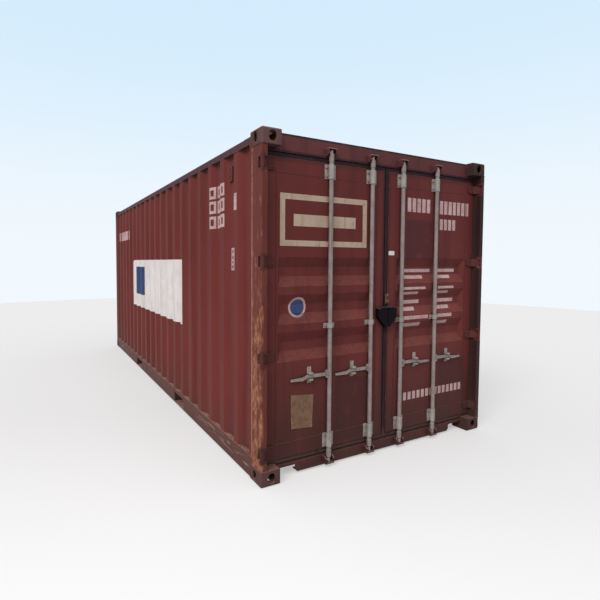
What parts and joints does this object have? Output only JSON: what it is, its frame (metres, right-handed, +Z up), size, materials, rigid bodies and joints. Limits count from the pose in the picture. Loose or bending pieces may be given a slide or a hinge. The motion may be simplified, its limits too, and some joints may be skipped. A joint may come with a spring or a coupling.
{
  "type": "twenty-foot shipping container",
  "caption": "Twenty-foot steel dry freight container with corrugated walls, corner castings, forklift pockets and a pair of rear doors with lock rods.",
  "frame": {"origin": "centre of the footprint, on the ground under the corner castings", "axes": "+X along the length towards the door end, +Y across to the right side seen from the doors, +Z up"},
  "size_m": [6.058, 2.438, 2.591],
  "materials": {
    "side_paint": "satin",
    "door_paint": "satin",
    "frame_paint": "worn satin",
    "underframe": "matte",
    "casting": "rough",
    "galvanised": "matte",
    "gasket": "matte",
    "lock_box": "satin",
    "floor": "matte"
  },
  "bodies": {
    "container": {"casting_front_left_bottom": "casting", "casting_front_left_top": "casting", "casting_front_right_bottom": "casting", "casting_front_right_top": "casting", "casting_rear_left_bottom": "casting", "casting_rear_left_top": "casting", "casting_rear_right_bottom": "casting", "casting_rear_right_top": "casting", "bottom_side_rail_left": "frame_paint", "bottom_side_rail_right": "frame_paint", "top_side_rail_left": "frame_paint", "top_side_rail_right": "frame_paint", "side_wall_left": "side_paint", "side_wall_right": "side_paint", "rear_corner_post_left": "frame_paint", "rear_corner_post_right": "frame_paint", "front_corner_posts": "frame_paint", "front_sill": "frame_paint", "front_header": "frame_paint", "front_wall": "frame_paint", "door_sill": "frame_paint", "door_header": "frame_paint", "roof_panel": "side_paint", "crossmembers": "underframe", "forklift_pockets": "underframe", "floor_panel": "floor", "cam_keepers": "galvanised", "hinge_lugs": "frame_paint", "ventilators": "frame_paint"},
    "left_leaf": {"left_door_frame": "door_paint", "left_door_panel": "door_paint", "left_door_gasket": "gasket", "left_hinge_blades": "frame_paint", "left_door_fittings": "galvanised", "left_lock_box": "lock_box"},
    "right_leaf": {"right_door_frame": "door_paint", "right_door_panel": "door_paint", "right_door_gasket": "gasket", "right_hinge_blades": "frame_paint", "right_door_fittings": "galvanised", "right_lock_box": "lock_box"},
    "rod_1": {"lock_rod_1": "galvanised"},
    "rod_2": {"lock_rod_2": "galvanised"},
    "rod_3": {"lock_rod_3": "galvanised"},
    "rod_4": {"lock_rod_4": "galvanised"}
  },
  "joints": [
    {"name": "left_door_hinge", "type": "hinge", "parent": "container", "child": "left_leaf", "pos_m": [3.014, -1.204, 1.29], "axis": [0, 0, -1], "range_deg": [0, 270]},
    {"name": "right_door_hinge", "type": "hinge", "parent": "container", "child": "right_leaf", "pos_m": [3.014, 1.204, 1.29], "axis": [0, 0, 1], "range_deg": [0, 270]},
    {"name": "lock_rod_1_turn", "type": "hinge", "parent": "left_leaf", "child": "rod_1", "pos_m": [2.971, -0.573, 0.755], "axis": [0, 0, -1], "range_deg": [-100, 0]},
    {"name": "lock_rod_2_turn", "type": "hinge", "parent": "left_leaf", "child": "rod_2", "pos_m": [2.971, -0.149, 0.755], "axis": [0, 0, -1], "range_deg": [-100, 0]},
    {"name": "lock_rod_3_turn", "type": "hinge", "parent": "right_leaf", "child": "rod_3", "pos_m": [2.971, 0.199, 0.755], "axis": [0, 0, 1], "range_deg": [-100, 0]},
    {"name": "lock_rod_4_turn", "type": "hinge", "parent": "right_leaf", "child": "rod_4", "pos_m": [2.971, 0.623, 0.755], "axis": [0, 0, 1], "range_deg": [-100, 0]}
  ]
}
